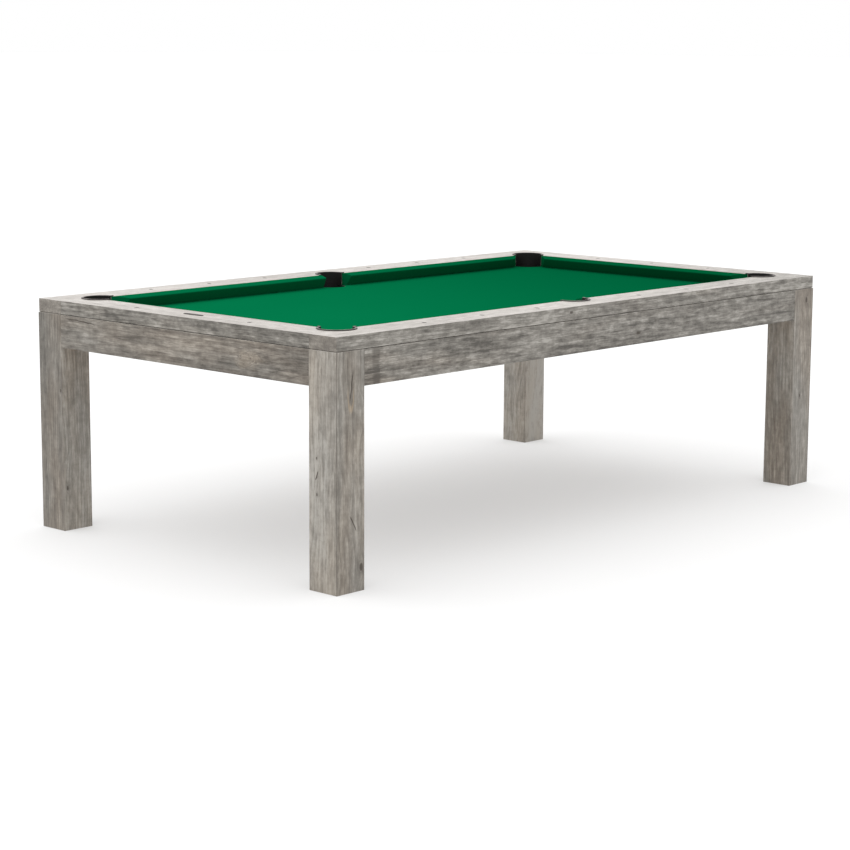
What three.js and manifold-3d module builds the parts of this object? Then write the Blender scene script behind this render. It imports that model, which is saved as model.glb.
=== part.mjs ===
// Eight-foot drop-pocket pool table: four square legs with screw levellers, aprons over a
// timber ring frame, three-piece slate, bed cloth, four rails, six cushions, six pockets.
// Millimetres, +Z up, origin on the floor under the middle of the table, +X along the table.

import * as THREE from 'three';
import { mergeVertices } from 'three/addons/utils/BufferGeometryUtils.js';
import Module from 'manifold-3d';

const wasm = await Module();
wasm.setup();

// ---------------------------------------------------------------- driving dimensions

const LENGTH = 2590;            // over the outer faces of the legs
const WIDTH = 1473;
const HEIGHT = 810;             // floor to the top of the rails
const GAP = 0.3;                // between pieces that bear on each other
const REACH = 40;               // how far a cutter runs past what it cuts

const LEG_SIZE = 122;           // square
const APRON_THICK = 25;
const APRON_HEIGHT = 114.5;
const SHADOW_GAP = 2;           // dark line between the rails and the aprons

const BEAM_THICK = 38;          // ring beams
const BEAM_HEIGHT = 89;
const CROSS_HEIGHT = 60;        // beams across the frame, halved over the centre beam
const JOINT_BEAM_WIDTH = 80;    // under each slate joint
const CROSS_WIDTH = 40;
const OUTER_CROSS_INSET = 295;  // end face to the middle of the outer cross beam

const SLATE_THICK = 25.4;
const SLATE_INSET = 52;         // outer face of the table to the edge of the slate
const SLATE_RELIEF = 30;        // corner cut, outward of the pocket centre
const CLOTH_THICK = 1;
const CLOTH_RELIEF = 0.6;       // cloth stands back from the pocket cut in the slate

const RAIL_THICK = 45.5;
const RAIL_INSET = 2;           // rails stand back from the leg faces
const RAIL_WOOD = 137;          // outer face of the table to the line of wood and cloth

const NOSE_LINE = 177.5;        // outer face of the table to the cushion nose
const NOSE_HEIGHT = 36.3;       // above the bed cloth
const NOSE_RADIUS = 2.6;
const CUSHION_FOOT = 20;        // width of the cushion at the bed
const CUSHION_LEVEL = 8;        // level part of its top, next to the wood
const CORNER_JAW = 142;         // degrees between the nose line and the jaw
const SIDE_JAW = 104;
const JAW_MARGIN = 1;           // jaw to pocket cut, along the rail

const CORNER_SET = 152;         // outer faces to the centre of a corner pocket
const SIDE_SET = 134;
const CORNER_HOLE = 57;         // radius
const SIDE_HOLE = 52;
const LINER_WALL = 4;
const RIM_OVERLAP = 4.7;        // rim over the wood
const RIM_HEIGHT = 3.5;
const BUCKET_WALL = 3;
const BUCKET_FLANGE = 8;        // flange beyond the bucket wall
const BUCKET_DEPTH = 82;
const BUCKET_TAPER = 7;         // bottom radius less than the mouth

const PLATE_LENGTH = 90;        // blank name plate on the left end rail
const PLATE_WIDTH = 18;
const PLATE_THICK = 1.2;

const BRACKET_BEYOND = 68;      // tip of a leg bracket past the inner face of the leg
const BRACKET_THICK = 3;
const BRACKET_FLANGE = 50;      // height
const BRACKET_CORNER = 25;      // flange end back from the tip of the plate
const BRACKET_BOLT_IN = 21;     // side bolt back from the end of the flange
const BOLT_HOLE = 4.5;          // radius

const RECESS_RADIUS = 26;       // leveller recess in the foot of a leg
const RECESS_DEPTH = 26;
const STUD_RADIUS = 5;          // M10
const STUD_LENGTH = 70;
const STUD_BORE_DEPTH = 92;     // floor to the top of the clearance bore
const RUNNING_CLEARANCE = 0.4;  // stud in its insert and in its pad
const INSERT_WALL = 3;
const INSERT_LENGTH = 30;
const INSERT_FLANGE = 13;       // radius
const INSERT_FLANGE_THICK = 2;
const PAD_RADIUS = 22;
const PAD_THICK = 6;
const PAD_LIFT = 2;             // retracted pad above the floor
const PAD_BOSS = 9.5;           // radius
const PAD_BOSS_HEIGHT = 8;
const HEX_RADIUS = 8;           // spanner hexagon on the stud
const HEX_HEIGHT = 5;

const ROUND = 32;               // sides of a full circle on pockets
const SMALL_ROUND = 16;         // and on the leveller parts

// ---------------------------------------------------------------- levels and set-backs

const halfLength = LENGTH / 2;
const halfWidth = WIDTH / 2;
const railBottom = HEIGHT - RAIL_THICK;
const clothTop = railBottom - GAP;
const slateTop = clothTop - CLOTH_THICK - GAP;
const slateBottom = slateTop - SLATE_THICK;
const beamTop = slateBottom - GAP;
const beamBottom = beamTop - BEAM_HEIGHT;
const shoulder = beamBottom - GAP;
const apronTop = railBottom - SHADOW_GAP;
const beamOuter = APRON_THICK + GAP;
const beamInner = beamOuter + BEAM_THICK;
const slateHalfLength = halfLength - SLATE_INSET;
const slateHalfWidth = halfWidth - SLATE_INSET;
const slateJoint = slateHalfLength / 3;
const cornerCut = CORNER_HOLE + LINER_WALL + GAP;
const sideCut = SIDE_HOLE + LINER_WALL + GAP;

// ---------------------------------------------------------------- shape helpers

function solid(geometry) {
  geometry.deleteAttribute('normal');
  geometry.deleteAttribute('uv');
  const merged = mergeVertices(geometry, 1e-4);
  const mesh = new wasm.Mesh({
    numProp: 3,
    vertProperties: new Float32Array(merged.attributes.position.array),
    triVerts: new Uint32Array(merged.index.array),
  });
  return new wasm.Manifold(mesh);
}

function geometryOf(body) {
  const mesh = body.getMesh();
  const geometry = new THREE.BufferGeometry();
  geometry.setAttribute('position', new THREE.BufferAttribute(mesh.vertProperties, 3));
  geometry.setIndex(new THREE.BufferAttribute(mesh.triVerts, 1));
  return geometry;
}

// Box between two corners.
function block(low, high) {
  const size = high.map((value, axis) => value - low[axis]);
  const geometry = new THREE.BoxGeometry(...size);
  geometry.translate(...low.map((value, axis) => value + size[axis] / 2));
  return solid(geometry);
}

// Outline in plan, raised from one level to another.
function prism(outline, bottom, top) {
  const shape = new THREE.Shape(outline.map(([x, y]) => new THREE.Vector2(x, y)));
  const geometry = new THREE.ExtrudeGeometry(shape, { depth: top - bottom, bevelEnabled: false });
  geometry.translate(0, 0, bottom);
  return solid(geometry);
}

// Section of [distance from the outer face, level], run along X as a front rail is.
function moulding(section, start, end) {
  const shape = new THREE.Shape(section.map(([out, level]) => new THREE.Vector2(out, level)));
  const geometry = new THREE.ExtrudeGeometry(shape, { depth: end - start, bevelEnabled: false });
  geometry.rotateX(Math.PI / 2);
  geometry.rotateZ(Math.PI / 2);
  geometry.translate(start, 0, 0);
  return solid(geometry);
}

// Section of [radius, level], turned about a vertical axis.
function turned(section, sides = ROUND) {
  const points = section.map(([radius, level]) => new THREE.Vector2(radius, level));
  const geometry = new THREE.LatheGeometry(points, sides);
  geometry.rotateX(Math.PI / 2);
  return solid(geometry);
}

// A turned ring's section closes on itself.
function ring(section, sides = ROUND) {
  return turned([...section, section[0]], sides);
}

function cylinder(radius, bottom, top, x = 0, y = 0, sides = ROUND) {
  return turned([[0, bottom], [radius, bottom], [radius, top], [0, top]], sides).translate([x, y, 0]);
}

// ---------------------------------------------------------------- materials

const finishes = {
  wood: new THREE.MeshStandardMaterial({ color: 0x9a948b, roughness: 0.75, metalness: 0 }),
  timber: new THREE.MeshStandardMaterial({ color: 0xc9ab7b, roughness: 0.8, metalness: 0 }),
  slate: new THREE.MeshStandardMaterial({ color: 0x4a4e52, roughness: 0.8, metalness: 0 }),
  cloth: new THREE.MeshStandardMaterial({ color: 0x00754a, roughness: 0.95, metalness: 0 }),
  pocket: new THREE.MeshStandardMaterial({ color: 0x16130f, roughness: 0.5, metalness: 0 }),
  steel: new THREE.MeshStandardMaterial({ color: 0x9fa3a6, roughness: 0.35, metalness: 1 }),
  blackSteel: new THREE.MeshStandardMaterial({ color: 0x202124, roughness: 0.5, metalness: 1 }),
  nylon: new THREE.MeshStandardMaterial({ color: 0x1c1c1c, roughness: 0.6, metalness: 0 }),
  plate: new THREE.MeshStandardMaterial({ color: 0x3a3936, roughness: 0.4, metalness: 1 }),
};

const table = new THREE.Group();

function place(name, body, finish, x = 0, y = 0, turn = 0) {
  const mesh = new THREE.Mesh(geometryOf(body), finishes[finish].clone());
  mesh.name = name;
  mesh.position.set(x, y, 0);
  mesh.rotation.z = turn;
  table.add(mesh);
}

// Corners run anticlockwise. In a corner's own frame the origin is the outer edge of the
// leg, and +X and +Y both run inward along the two sides that meet there.
const corners = [
  { name: 'front_left', x: -halfLength, y: -halfWidth, turn: 0 },
  { name: 'front_right', x: halfLength, y: -halfWidth, turn: Math.PI / 2 },
  { name: 'back_right', x: halfLength, y: halfWidth, turn: Math.PI },
  { name: 'back_left', x: -halfLength, y: halfWidth, turn: -Math.PI / 2 },
];

// A long side is drawn as the front one and an end as the left one; the opposite side is
// the same piece turned half a turn.
const longSides = [{ name: 'front', turn: 0 }, { name: 'back', turn: Math.PI }];
const ends = [{ name: 'left', turn: 0 }, { name: 'right', turn: Math.PI }];

// ---------------------------------------------------------------- legs and levellers

const insertBore = STUD_RADIUS + RUNNING_CLEARANCE;
const insertRadius = insertBore + INSERT_WALL;

function legBody() {
  const outline = [
    [0, 0], [LEG_SIZE, 0], [LEG_SIZE, APRON_THICK], [APRON_THICK, APRON_THICK],
    [APRON_THICK, LEG_SIZE], [0, LEG_SIZE],
  ];
  const middle = LEG_SIZE / 2;
  const post = block([0, 0, 0], [LEG_SIZE, LEG_SIZE, shoulder]);
  const shell = prism(outline, shoulder - 1, apronTop);
  const recess = cylinder(RECESS_RADIUS, -1, RECESS_DEPTH, middle, middle);
  const insertHole = cylinder(insertRadius + GAP, RECESS_DEPTH - 1, RECESS_DEPTH + INSERT_LENGTH + GAP,
    middle, middle, SMALL_ROUND);
  const studHole = cylinder(insertBore + GAP, RECESS_DEPTH, STUD_BORE_DEPTH, middle, middle, SMALL_ROUND);
  return post.add(shell).subtract(recess).subtract(insertHole).subtract(studHole);
}

function insertBody() {
  const flangeTop = RECESS_DEPTH - GAP;
  const flangeBottom = flangeTop - INSERT_FLANGE_THICK;
  return ring([
    [insertBore, flangeBottom], [INSERT_FLANGE, flangeBottom], [INSERT_FLANGE, flangeTop],
    [insertRadius, flangeTop], [insertRadius, RECESS_DEPTH + INSERT_LENGTH],
    [insertBore, RECESS_DEPTH + INSERT_LENGTH],
  ], SMALL_ROUND);
}

const padTop = PAD_LIFT + PAD_THICK + PAD_BOSS_HEIGHT;
const studFoot = PAD_LIFT + PAD_THICK + GAP;

function padBody() {
  const socket = STUD_RADIUS + RUNNING_CLEARANCE;
  return turned([
    [0, PAD_LIFT], [PAD_RADIUS, PAD_LIFT], [PAD_RADIUS, PAD_LIFT + PAD_THICK],
    [PAD_BOSS, PAD_LIFT + PAD_THICK], [PAD_BOSS, padTop], [socket, padTop],
    [socket, PAD_LIFT + PAD_THICK], [0, PAD_LIFT + PAD_THICK],
  ], SMALL_ROUND);
}

function studBody() {
  const shank = cylinder(STUD_RADIUS, studFoot, studFoot + STUD_LENGTH, 0, 0, SMALL_ROUND);
  const hexBottom = padTop + GAP;
  return shank.add(cylinder(HEX_RADIUS, hexBottom, hexBottom + HEX_HEIGHT, 0, 0, 6));
}

function bracketBody() {
  const near = beamInner + GAP;
  const far = LEG_SIZE + BRACKET_BEYOND;
  const flangeEnd = far - BRACKET_CORNER;
  const level = shoulder + GAP;
  const flangeTop = level + BRACKET_FLANGE;
  const inside = near + BRACKET_THICK;
  const seat = (near + LEG_SIZE) / 2;
  const boltLevel = level + BRACKET_FLANGE / 2;
  const sideBolt = flangeEnd - BRACKET_BOLT_IN;
  const plate = prism([[near, near], [far, near], [near, far]], level, level + BRACKET_THICK);
  const flangeX = block([near, near, level], [flangeEnd, inside, flangeTop]);
  const flangeY = block([near, near, level], [inside, flangeEnd, flangeTop]);
  const legHole = cylinder(BOLT_HOLE, level - 1, level + BRACKET_THICK + 1, seat, seat, SMALL_ROUND);
  const sideHole = cylinder(BOLT_HOLE, -BRACKET_THICK, BRACKET_THICK, 0, 0, SMALL_ROUND);
  const holeX = sideHole.rotate([90, 0, 0]).translate([sideBolt, near + BRACKET_THICK / 2, boltLevel]);
  const holeY = sideHole.rotate([0, 90, 0]).translate([near + BRACKET_THICK / 2, sideBolt, boltLevel]);
  return plate.add(flangeX).add(flangeY).subtract(legHole).subtract(holeX).subtract(holeY);
}

const leg = legBody();
const insert = insertBody();
const pad = padBody();
const stud = studBody();
const bracket = bracketBody();

for (const { name, x, y, turn } of corners) {
  const axisX = x - Math.sign(x) * LEG_SIZE / 2;
  const axisY = y - Math.sign(y) * LEG_SIZE / 2;
  place(`leg_${name}`, leg, 'wood', x, y, turn);
  place(`leveller_insert_${name}`, insert, 'steel', axisX, axisY, turn);
  place(`leveller_stud_${name}`, stud, 'steel', axisX, axisY, turn);
  place(`leveller_pad_${name}`, pad, 'nylon', axisX, axisY, turn);
  place(`leg_bracket_${name}`, bracket, 'blackSteel', x, y, turn);
}

// ---------------------------------------------------------------- aprons and frame

const apronLevels = [apronTop - APRON_HEIGHT, apronTop];
const apronEnd = LEG_SIZE + GAP;

function longApron() {
  return block(
    [-halfLength + apronEnd, -halfWidth, apronLevels[0]],
    [halfLength - apronEnd, -halfWidth + APRON_THICK, apronLevels[1]],
  );
}

function endApron() {
  return block(
    [-halfLength, -halfWidth + apronEnd, apronLevels[0]],
    [-halfLength + APRON_THICK, halfWidth - apronEnd, apronLevels[1]],
  );
}

function longBeam() {
  return block(
    [-halfLength + beamOuter, -halfWidth + beamOuter, beamBottom],
    [halfLength - beamOuter, -halfWidth + beamInner, beamTop],
  );
}

function endBeam() {
  const stop = halfWidth - beamInner - GAP;
  return block(
    [-halfLength + beamOuter, -stop, beamBottom],
    [-halfLength + beamInner, stop, beamTop],
  );
}

for (const { name, turn } of longSides) {
  place(`apron_${name}`, longApron(), 'wood', 0, 0, turn);
  place(`ring_beam_${name}`, longBeam(), 'timber', 0, 0, turn);
}
for (const { name, turn } of ends) {
  place(`apron_${name}`, endApron(), 'wood', 0, 0, turn);
  place(`ring_beam_${name}`, endBeam(), 'timber', 0, 0, turn);
}

const crossBeams = [
  { name: 'outer_left', x: -halfLength + OUTER_CROSS_INSET, width: CROSS_WIDTH },
  { name: 'joint_left', x: -slateJoint, width: JOINT_BEAM_WIDTH },
  { name: 'joint_right', x: slateJoint, width: JOINT_BEAM_WIDTH },
  { name: 'outer_right', x: halfLength - OUTER_CROSS_INSET, width: CROSS_WIDTH },
];
const crossBottom = beamTop - CROSS_HEIGHT;
const halving = beamTop - CROSS_HEIGHT / 2;

function crossBeam(width) {
  const stop = halfWidth - beamInner - GAP;
  const slot = CROSS_WIDTH / 2 + GAP;
  const beam = block([-width / 2, -stop, crossBottom], [width / 2, stop, beamTop]);
  return beam.subtract(block([-width, -slot, crossBottom - 1], [width, slot, halving + GAP / 2]));
}

function centreBeam() {
  const stop = halfLength - beamInner - GAP;
  let beam = block([-stop, -CROSS_WIDTH / 2, crossBottom], [stop, CROSS_WIDTH / 2, beamTop]);
  for (const { x, width } of crossBeams) {
    const slot = width / 2 + GAP;
    beam = beam.subtract(
      block([x - slot, -CROSS_WIDTH, halving - GAP / 2], [x + slot, CROSS_WIDTH, beamTop + 1]),
    );
  }
  return beam;
}

for (const { name, x, width } of crossBeams) {
  place(`cross_beam_${name}`, crossBeam(width), 'timber', x);
}
place('centre_beam', centreBeam(), 'timber');

// ---------------------------------------------------------------- slate and bed cloth

// Everything that the pockets take out of the bed, between two levels.
function bedPocketCuts(bottom, top, ease) {
  const cuts = [];
  const relief = 2 * (CORNER_SET - SLATE_RELIEF);
  for (const sx of [-1, 1]) {
    for (const sy of [-1, 1]) {
      const cx = sx * (halfLength - CORNER_SET);
      const cy = sy * (halfWidth - CORNER_SET);
      cuts.push(cylinder(cornerCut + ease, bottom, top, cx, cy));
      const corner = [[-REACH, -REACH], [relief + REACH, -REACH], [-REACH, relief + REACH]];
      const outline = corner.map(([a, b]) => [sx * (a - halfLength), sy * (b - halfWidth)]);
      if (sx * sy < 0) outline.reverse();
      cuts.push(prism(outline, bottom, top));
    }
  }
  for (const sy of [-1, 1]) {
    const cy = sy * (halfWidth - SIDE_SET);
    const edge = sy * halfWidth;
    cuts.push(cylinder(sideCut + ease, bottom, top, 0, cy));
    cuts.push(block(
      [-sideCut - ease, Math.min(cy, edge), bottom], [sideCut + ease, Math.max(cy, edge), top],
    ));
  }
  return cuts;
}

function bedPiece(from, to, bottom, top, ease) {
  let piece = block([from, -slateHalfWidth, bottom], [to, slateHalfWidth, top]);
  for (const cut of bedPocketCuts(bottom - 1, top + 1, ease)) piece = piece.subtract(cut);
  return piece;
}

const slatePieces = [
  { name: 'left', from: -slateHalfLength, to: -slateJoint - GAP / 2 },
  { name: 'middle', from: -slateJoint + GAP / 2, to: slateJoint - GAP / 2 },
  { name: 'right', from: slateJoint + GAP / 2, to: slateHalfLength },
];
for (const { name, from, to } of slatePieces) {
  place(`slate_${name}`, bedPiece(from, to, slateBottom, slateTop, 0), 'slate');
}
const clothBottom = clothTop - CLOTH_THICK;
place('bed_cloth', bedPiece(-slateHalfLength, slateHalfLength, clothBottom, clothTop, CLOTH_RELIEF), 'cloth');

// ---------------------------------------------------------------- rails

const railSection = [
  [RAIL_INSET, railBottom], [RAIL_WOOD, railBottom], [RAIL_WOOD, HEIGHT], [RAIL_INSET, HEIGHT],
];

// The side rails run from end to end. Beyond the corner pockets they are as wide as a leg,
// and the end rails butt against them there.
function longRail() {
  const pocket = halfLength - CORNER_SET;
  const low = railBottom - 1;
  const high = HEIGHT + 1;
  let rail = moulding(railSection, -pocket, pocket).translate([0, -halfWidth, 0]);
  for (const side of [-1, 1]) {
    const cx = side * pocket;
    const end = side * (halfLength - RAIL_INSET);
    rail = rail.add(block(
      [Math.min(cx, end), -halfWidth + RAIL_INSET, railBottom],
      [Math.max(cx, end), -halfWidth + LEG_SIZE, HEIGHT],
    ));
    rail = rail.subtract(cylinder(cornerCut, low, high, cx, -halfWidth + CORNER_SET));
  }
  return rail.subtract(cylinder(sideCut, low, high, 0, -halfWidth + SIDE_SET));
}

function endRail() {
  const stop = halfWidth - LEG_SIZE - GAP;
  let rail = moulding(railSection, -stop, stop).rotate([0, 0, -90]).translate([-halfLength, 0, 0]);
  for (const side of [-1, 1]) {
    rail = rail.subtract(cylinder(
      cornerCut, railBottom - 1, HEIGHT + 1, -halfLength + CORNER_SET, side * (halfWidth - CORNER_SET),
    ));
  }
  return rail;
}

for (const { name, turn } of longSides) place(`rail_${name}`, longRail(), 'wood', 0, 0, turn);
for (const { name, turn } of ends) place(`rail_${name}`, endRail(), 'wood', 0, 0, turn);

// ---------------------------------------------------------------- cushions

// Flat back against the rail, top falling to the nose, rounded nose, face running back to the bed.
function cushionSection() {
  const back = RAIL_WOOD + GAP;
  const nose = clothTop + NOSE_HEIGHT;
  const foot = clothTop + 2 * GAP;
  return [
    [back, foot], [back + CUSHION_FOOT, foot], [NOSE_LINE - 0.3 * NOSE_RADIUS, nose - NOSE_RADIUS],
    [NOSE_LINE, nose], [NOSE_LINE - 0.3 * NOSE_RADIUS, nose + 0.7 * NOSE_RADIUS],
    [NOSE_LINE - NOSE_RADIUS, nose + NOSE_RADIUS], [back + CUSHION_LEVEL, HEIGHT - GAP],
    [back, HEIGHT - GAP / 3],
  ];
}

// A jaw is the plan line from the wood line at the pocket to the nose line. It leaves the
// nose line at its own angle, and what lies beyond it is cut away.
function jawCut(atWood, angle, side) {
  const run = NOSE_LINE - RAIL_WOOD;
  const slope = 1 / Math.tan((180 - angle) * Math.PI / 180);
  const front = -halfWidth + RAIL_WOOD - REACH;
  const inner = -halfWidth + NOSE_LINE + REACH;
  const outline = [
    [atWood - side * slope * REACH, front],
    [atWood + side * slope * (run + REACH), inner],
    [atWood - side * 4 * REACH, inner],
    [atWood - side * 4 * REACH, front],
  ];
  if (side < 0) outline.reverse();
  return prism(outline, railBottom - 1, HEIGHT + 1);
}

// Where the pocket cut crosses the wood line, measured from the pocket centre.
function mouthHalf(cut, set) {
  return Math.sqrt(cut ** 2 - (set - RAIL_WOOD) ** 2) + JAW_MARGIN;
}

const cornerMouth = CORNER_SET + mouthHalf(cornerCut, CORNER_SET);
const sideMouth = mouthHalf(sideCut, SIDE_SET);

// Cushion of a long side, left of the side pocket.
function longCushion() {
  const start = -halfLength + cornerMouth;
  const end = -sideMouth;
  return moulding(cushionSection(), start, end).translate([0, -halfWidth, 0])
    .subtract(jawCut(start, CORNER_JAW, 1))
    .subtract(jawCut(end, SIDE_JAW, -1));
}

function endCushion() {
  const half = halfWidth - cornerMouth;
  const bar = moulding(cushionSection(), -half, half).translate([0, -halfWidth, 0])
    .subtract(jawCut(-half, CORNER_JAW, 1))
    .subtract(jawCut(half, CORNER_JAW, -1));
  return bar.translate([0, halfWidth, 0]).rotate([0, 0, -90]).translate([-halfLength, 0, 0]);
}

const cushion = longCushion();
const mirrored = cushion.mirror([1, 0, 0]);
place('cushion_front_left', cushion, 'cloth');
place('cushion_front_right', mirrored, 'cloth');
place('cushion_back_right', cushion, 'cloth', 0, 0, Math.PI);
place('cushion_back_left', mirrored, 'cloth', 0, 0, Math.PI);
for (const { name, turn } of ends) place(`cushion_${name}`, endCushion(), 'cloth', 0, 0, turn);

// ---------------------------------------------------------------- pockets

// Liner about its own axis, opening towards +Y: a full ring through the slate, and a wall with
// a rim on the rails that stop where the cushions start.
function linerBody(hole) {
  const wall = hole + LINER_WALL;
  const rim = wall + RIM_OVERLAP;
  const rimBottom = HEIGHT + GAP;
  const rimTop = rimBottom + RIM_HEIGHT;
  return ring([
    [hole, slateBottom], [wall, slateBottom], [wall, rimBottom], [rim, rimBottom],
    [rim, rimBottom + 0.4 * RIM_HEIGHT], [wall + 0.5 * RIM_OVERLAP, rimTop],
    [hole + 0.5 * LINER_WALL, rimTop], [hole, rimTop - 0.3 * RIM_HEIGHT],
  ]);
}

const linerRingTop = slateTop - CLOTH_THICK;

function cornerLiner() {
  const near = RAIL_WOOD - CORNER_SET;
  const far = CORNER_HOLE + REACH;
  return linerBody(CORNER_HOLE).subtract(prism(
    [[near, near], [far, near], [far, far], [near, far]], linerRingTop, HEIGHT + REACH,
  ));
}

function sideLiner() {
  const far = SIDE_HOLE + REACH;
  return linerBody(SIDE_HOLE).subtract(block(
    [-far, RAIL_WOOD - SIDE_SET, linerRingTop], [far, far, HEIGHT + REACH],
  ));
}

function bucketBody(hole) {
  const outer = hole + BUCKET_WALL;
  const flange = outer + BUCKET_FLANGE;
  const top = beamTop;
  const bottom = top - BUCKET_DEPTH;
  return turned([
    [0, bottom], [outer - BUCKET_TAPER, bottom], [outer, top - BUCKET_WALL],
    [flange, top - BUCKET_WALL], [flange, top], [hole, top],
    [hole - BUCKET_TAPER, bottom + BUCKET_WALL], [0, bottom + BUCKET_WALL],
  ]);
}

const cornerLinerBody = cornerLiner();
const cornerBucket = bucketBody(CORNER_HOLE);
for (const { name, x, y, turn } of corners) {
  const cx = x - Math.sign(x) * CORNER_SET;
  const cy = y - Math.sign(y) * CORNER_SET;
  place(`pocket_liner_${name}`, cornerLinerBody, 'pocket', cx, cy, turn);
  place(`pocket_bucket_${name}`, cornerBucket, 'pocket', cx, cy, turn);
}
for (const { name, turn } of longSides) {
  const cy = (turn ? 1 : -1) * (halfWidth - SIDE_SET);
  place(`pocket_liner_${name}_side`, sideLiner(), 'pocket', 0, cy, turn);
  place(`pocket_bucket_${name}_side`, bucketBody(SIDE_HOLE), 'pocket', 0, cy, turn);
}

// ---------------------------------------------------------------- name plate, left blank

function plateBody() {
  const shape = new THREE.Shape();
  const half = PLATE_LENGTH / 2 - PLATE_WIDTH / 2;
  shape.absarc(0, half, PLATE_WIDTH / 2, 0, Math.PI, false);
  shape.absarc(0, -half, PLATE_WIDTH / 2, Math.PI, 2 * Math.PI, false);
  const geometry = new THREE.ExtrudeGeometry(shape, {
    depth: PLATE_THICK, bevelEnabled: false, curveSegments: SMALL_ROUND / 2,
  });
  return solid(geometry).translate([0, 0, HEIGHT + GAP]);
}

place('name_plate', plateBody(), 'plate', -halfLength + (RAIL_INSET + RAIL_WOOD) / 2, 0);

export default table;
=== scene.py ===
"""Looks of an eight-foot pool table: brushed grey wood, green cloth, drop pockets, levellers."""

import math

import bmesh
import bpy
from mathutils import Matrix, Vector


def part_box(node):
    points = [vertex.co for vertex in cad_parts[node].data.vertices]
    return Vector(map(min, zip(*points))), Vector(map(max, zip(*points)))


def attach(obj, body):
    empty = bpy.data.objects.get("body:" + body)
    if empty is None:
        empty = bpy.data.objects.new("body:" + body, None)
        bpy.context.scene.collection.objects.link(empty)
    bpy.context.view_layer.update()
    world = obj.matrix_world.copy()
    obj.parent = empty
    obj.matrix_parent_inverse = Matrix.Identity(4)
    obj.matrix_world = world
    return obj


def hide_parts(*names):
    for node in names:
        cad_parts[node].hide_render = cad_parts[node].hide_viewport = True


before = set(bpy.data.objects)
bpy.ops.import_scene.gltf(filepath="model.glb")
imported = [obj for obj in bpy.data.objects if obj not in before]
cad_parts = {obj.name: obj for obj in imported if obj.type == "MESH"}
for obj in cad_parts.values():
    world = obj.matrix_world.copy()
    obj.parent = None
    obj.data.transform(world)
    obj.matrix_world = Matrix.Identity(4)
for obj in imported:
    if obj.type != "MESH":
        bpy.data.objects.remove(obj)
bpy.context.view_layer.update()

MM = 0.001
UP = Vector((0, 0, 1))

# ------------------------------------------------------------ camera, lights and floor

CAMERA_PLACE = Vector((-6.137, -5.632, 1.720))
CAMERA_YAW = 43.06          # degrees from +X
CAMERA_PITCH = -9.72
CAMERA_ROLL = 0.29
CAMERA_LENS = 96.57         # millimetres on a 36 mm sensor


def add_camera():
    yaw, pitch = math.radians(CAMERA_YAW), math.radians(CAMERA_PITCH)
    level = Vector((math.cos(yaw), math.sin(yaw), 0)) * math.cos(pitch)
    aim = level + UP * math.sin(pitch)
    turn = aim.to_track_quat("-Z", "Y").to_matrix().to_4x4()
    camera = bpy.data.objects.new("camera", bpy.data.cameras.new("camera"))
    camera.data.lens = CAMERA_LENS
    camera.data.sensor_width = 36
    camera.data.clip_end = 500
    camera.matrix_world = (
        Matrix.Translation(CAMERA_PLACE) @ turn @ Matrix.Rotation(math.radians(CAMERA_ROLL), 4, "Z")
    )
    bpy.context.scene.collection.objects.link(camera)
    bpy.context.scene.camera = camera


def add_overhead(strength, width):
    """Even light from above, as from a studio ceiling. Its width is in degrees."""
    light = bpy.data.lights.new("overhead", "SUN")
    light.energy = strength
    light.angle = math.radians(width)
    lamp = bpy.data.objects.new("overhead", light)
    aim = Vector((0.22, -0.10, -1)).to_track_quat("-Z", "Y").to_matrix().to_4x4()
    lamp.matrix_world = Matrix.Translation((0, 0, 6)) @ aim
    bpy.context.scene.collection.objects.link(lamp)


def add_world(strength):
    """An even white room."""
    world = bpy.data.worlds.new("studio")
    bpy.context.scene.world = world
    world.use_nodes = True
    world.node_tree.nodes["Background"].inputs["Color"].default_value = (1, 1, 1, 1)
    world.node_tree.nodes["Background"].inputs["Strength"].default_value = strength


add_camera()
bpy.context.scene.view_settings.view_transform = "Standard"
add_world(1.0)
add_overhead(1.7, 110)


# ------------------------------------------------------------ shader maths


class Value:
    """A number or colour that varies over a surface. Sums on it lay Math nodes."""

    def __init__(self, finish, socket):
        self.finish = finish
        self.socket = socket

    def math(self, operation, *others, **settings):
        inputs = {0: self, **{place + 1: other for place, other in enumerate(others)}}
        return self.finish.node("ShaderNodeMath", inputs, operation=operation, **settings)

    def back_math(self, operation, other):
        return self.finish.node("ShaderNodeMath", {0: other, 1: self}, operation=operation)

    def __add__(self, other):
        return self.math("ADD", other)

    def __radd__(self, other):
        return self.back_math("ADD", other)

    def __sub__(self, other):
        return self.math("SUBTRACT", other)

    def __rsub__(self, other):
        return self.back_math("SUBTRACT", other)

    def __mul__(self, other):
        return self.math("MULTIPLY", other)

    def __rmul__(self, other):
        return self.back_math("MULTIPLY", other)

    def __truediv__(self, other):
        return self.math("DIVIDE", other)

    def __rtruediv__(self, other):
        return self.back_math("DIVIDE", other)

    def __pow__(self, other):
        return self.math("POWER", other)

    def __abs__(self):
        return self.math("ABSOLUTE")

    def root(self):
        return self.math("SQRT")

    def cut(self):
        """Held between 0 and 1."""
        return self.math("ADD", 0.0, use_clamp=True)

    def fraction(self):
        return self.math("FRACT")

    def most(self, other):
        return self.math("MAXIMUM", other)

    def step(self, low, high):
        """0 below low, 1 above high and smooth between. The two may be swapped."""
        return self.finish.node(
            "ShaderNodeMapRange",
            {"Value": self, "From Min": low, "From Max": high, "To Min": 0.0, "To Max": 1.0},
            interpolation_type="SMOOTHSTEP",
        )


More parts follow.
